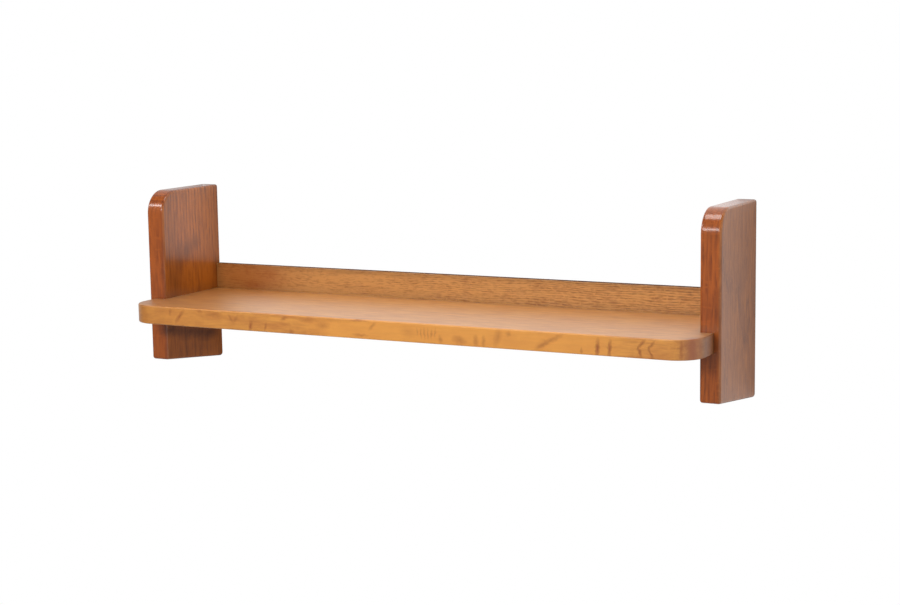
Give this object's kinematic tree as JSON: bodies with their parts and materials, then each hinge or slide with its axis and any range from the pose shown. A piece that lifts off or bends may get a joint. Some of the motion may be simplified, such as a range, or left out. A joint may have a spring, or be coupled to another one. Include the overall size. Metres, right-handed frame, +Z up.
{
  "type": "wall shelf",
  "caption": "Wall shelf with a thick oak board housed between upright sides, a low back rail and keyhole plates for hanging.",
  "frame": {"origin": "on the wall's surface behind the back rail, midway between the sides, level with the board's top face", "axes": "+X to the right seen from the front, +Y into the wall, +Z up"},
  "size_m": [1, 0.239, 0.3003],
  "materials": {
    "side_oak": "stained and varnished, semi-gloss",
    "board_oak": "stained and varnished, gloss",
    "rail_oak": "stained and varnished, semi-gloss",
    "zinc_steel": "zinc plated"
  },
  "bodies": {
    "root": {"left_side": "side_oak", "right_side": "side_oak", "shelf_board": "board_oak", "back_rail": "rail_oak", "rail_screw_1": "zinc_steel", "rail_screw_2": "zinc_steel", "rail_screw_3": "zinc_steel", "rail_screw_4": "zinc_steel", "rail_screw_5": "zinc_steel", "left_keyhole_plate": "zinc_steel", "right_keyhole_plate": "zinc_steel", "left_plate_screw_lower": "zinc_steel", "left_plate_screw_upper": "zinc_steel", "right_plate_screw_lower": "zinc_steel", "right_plate_screw_upper": "zinc_steel"}
  },
  "joints": []
}
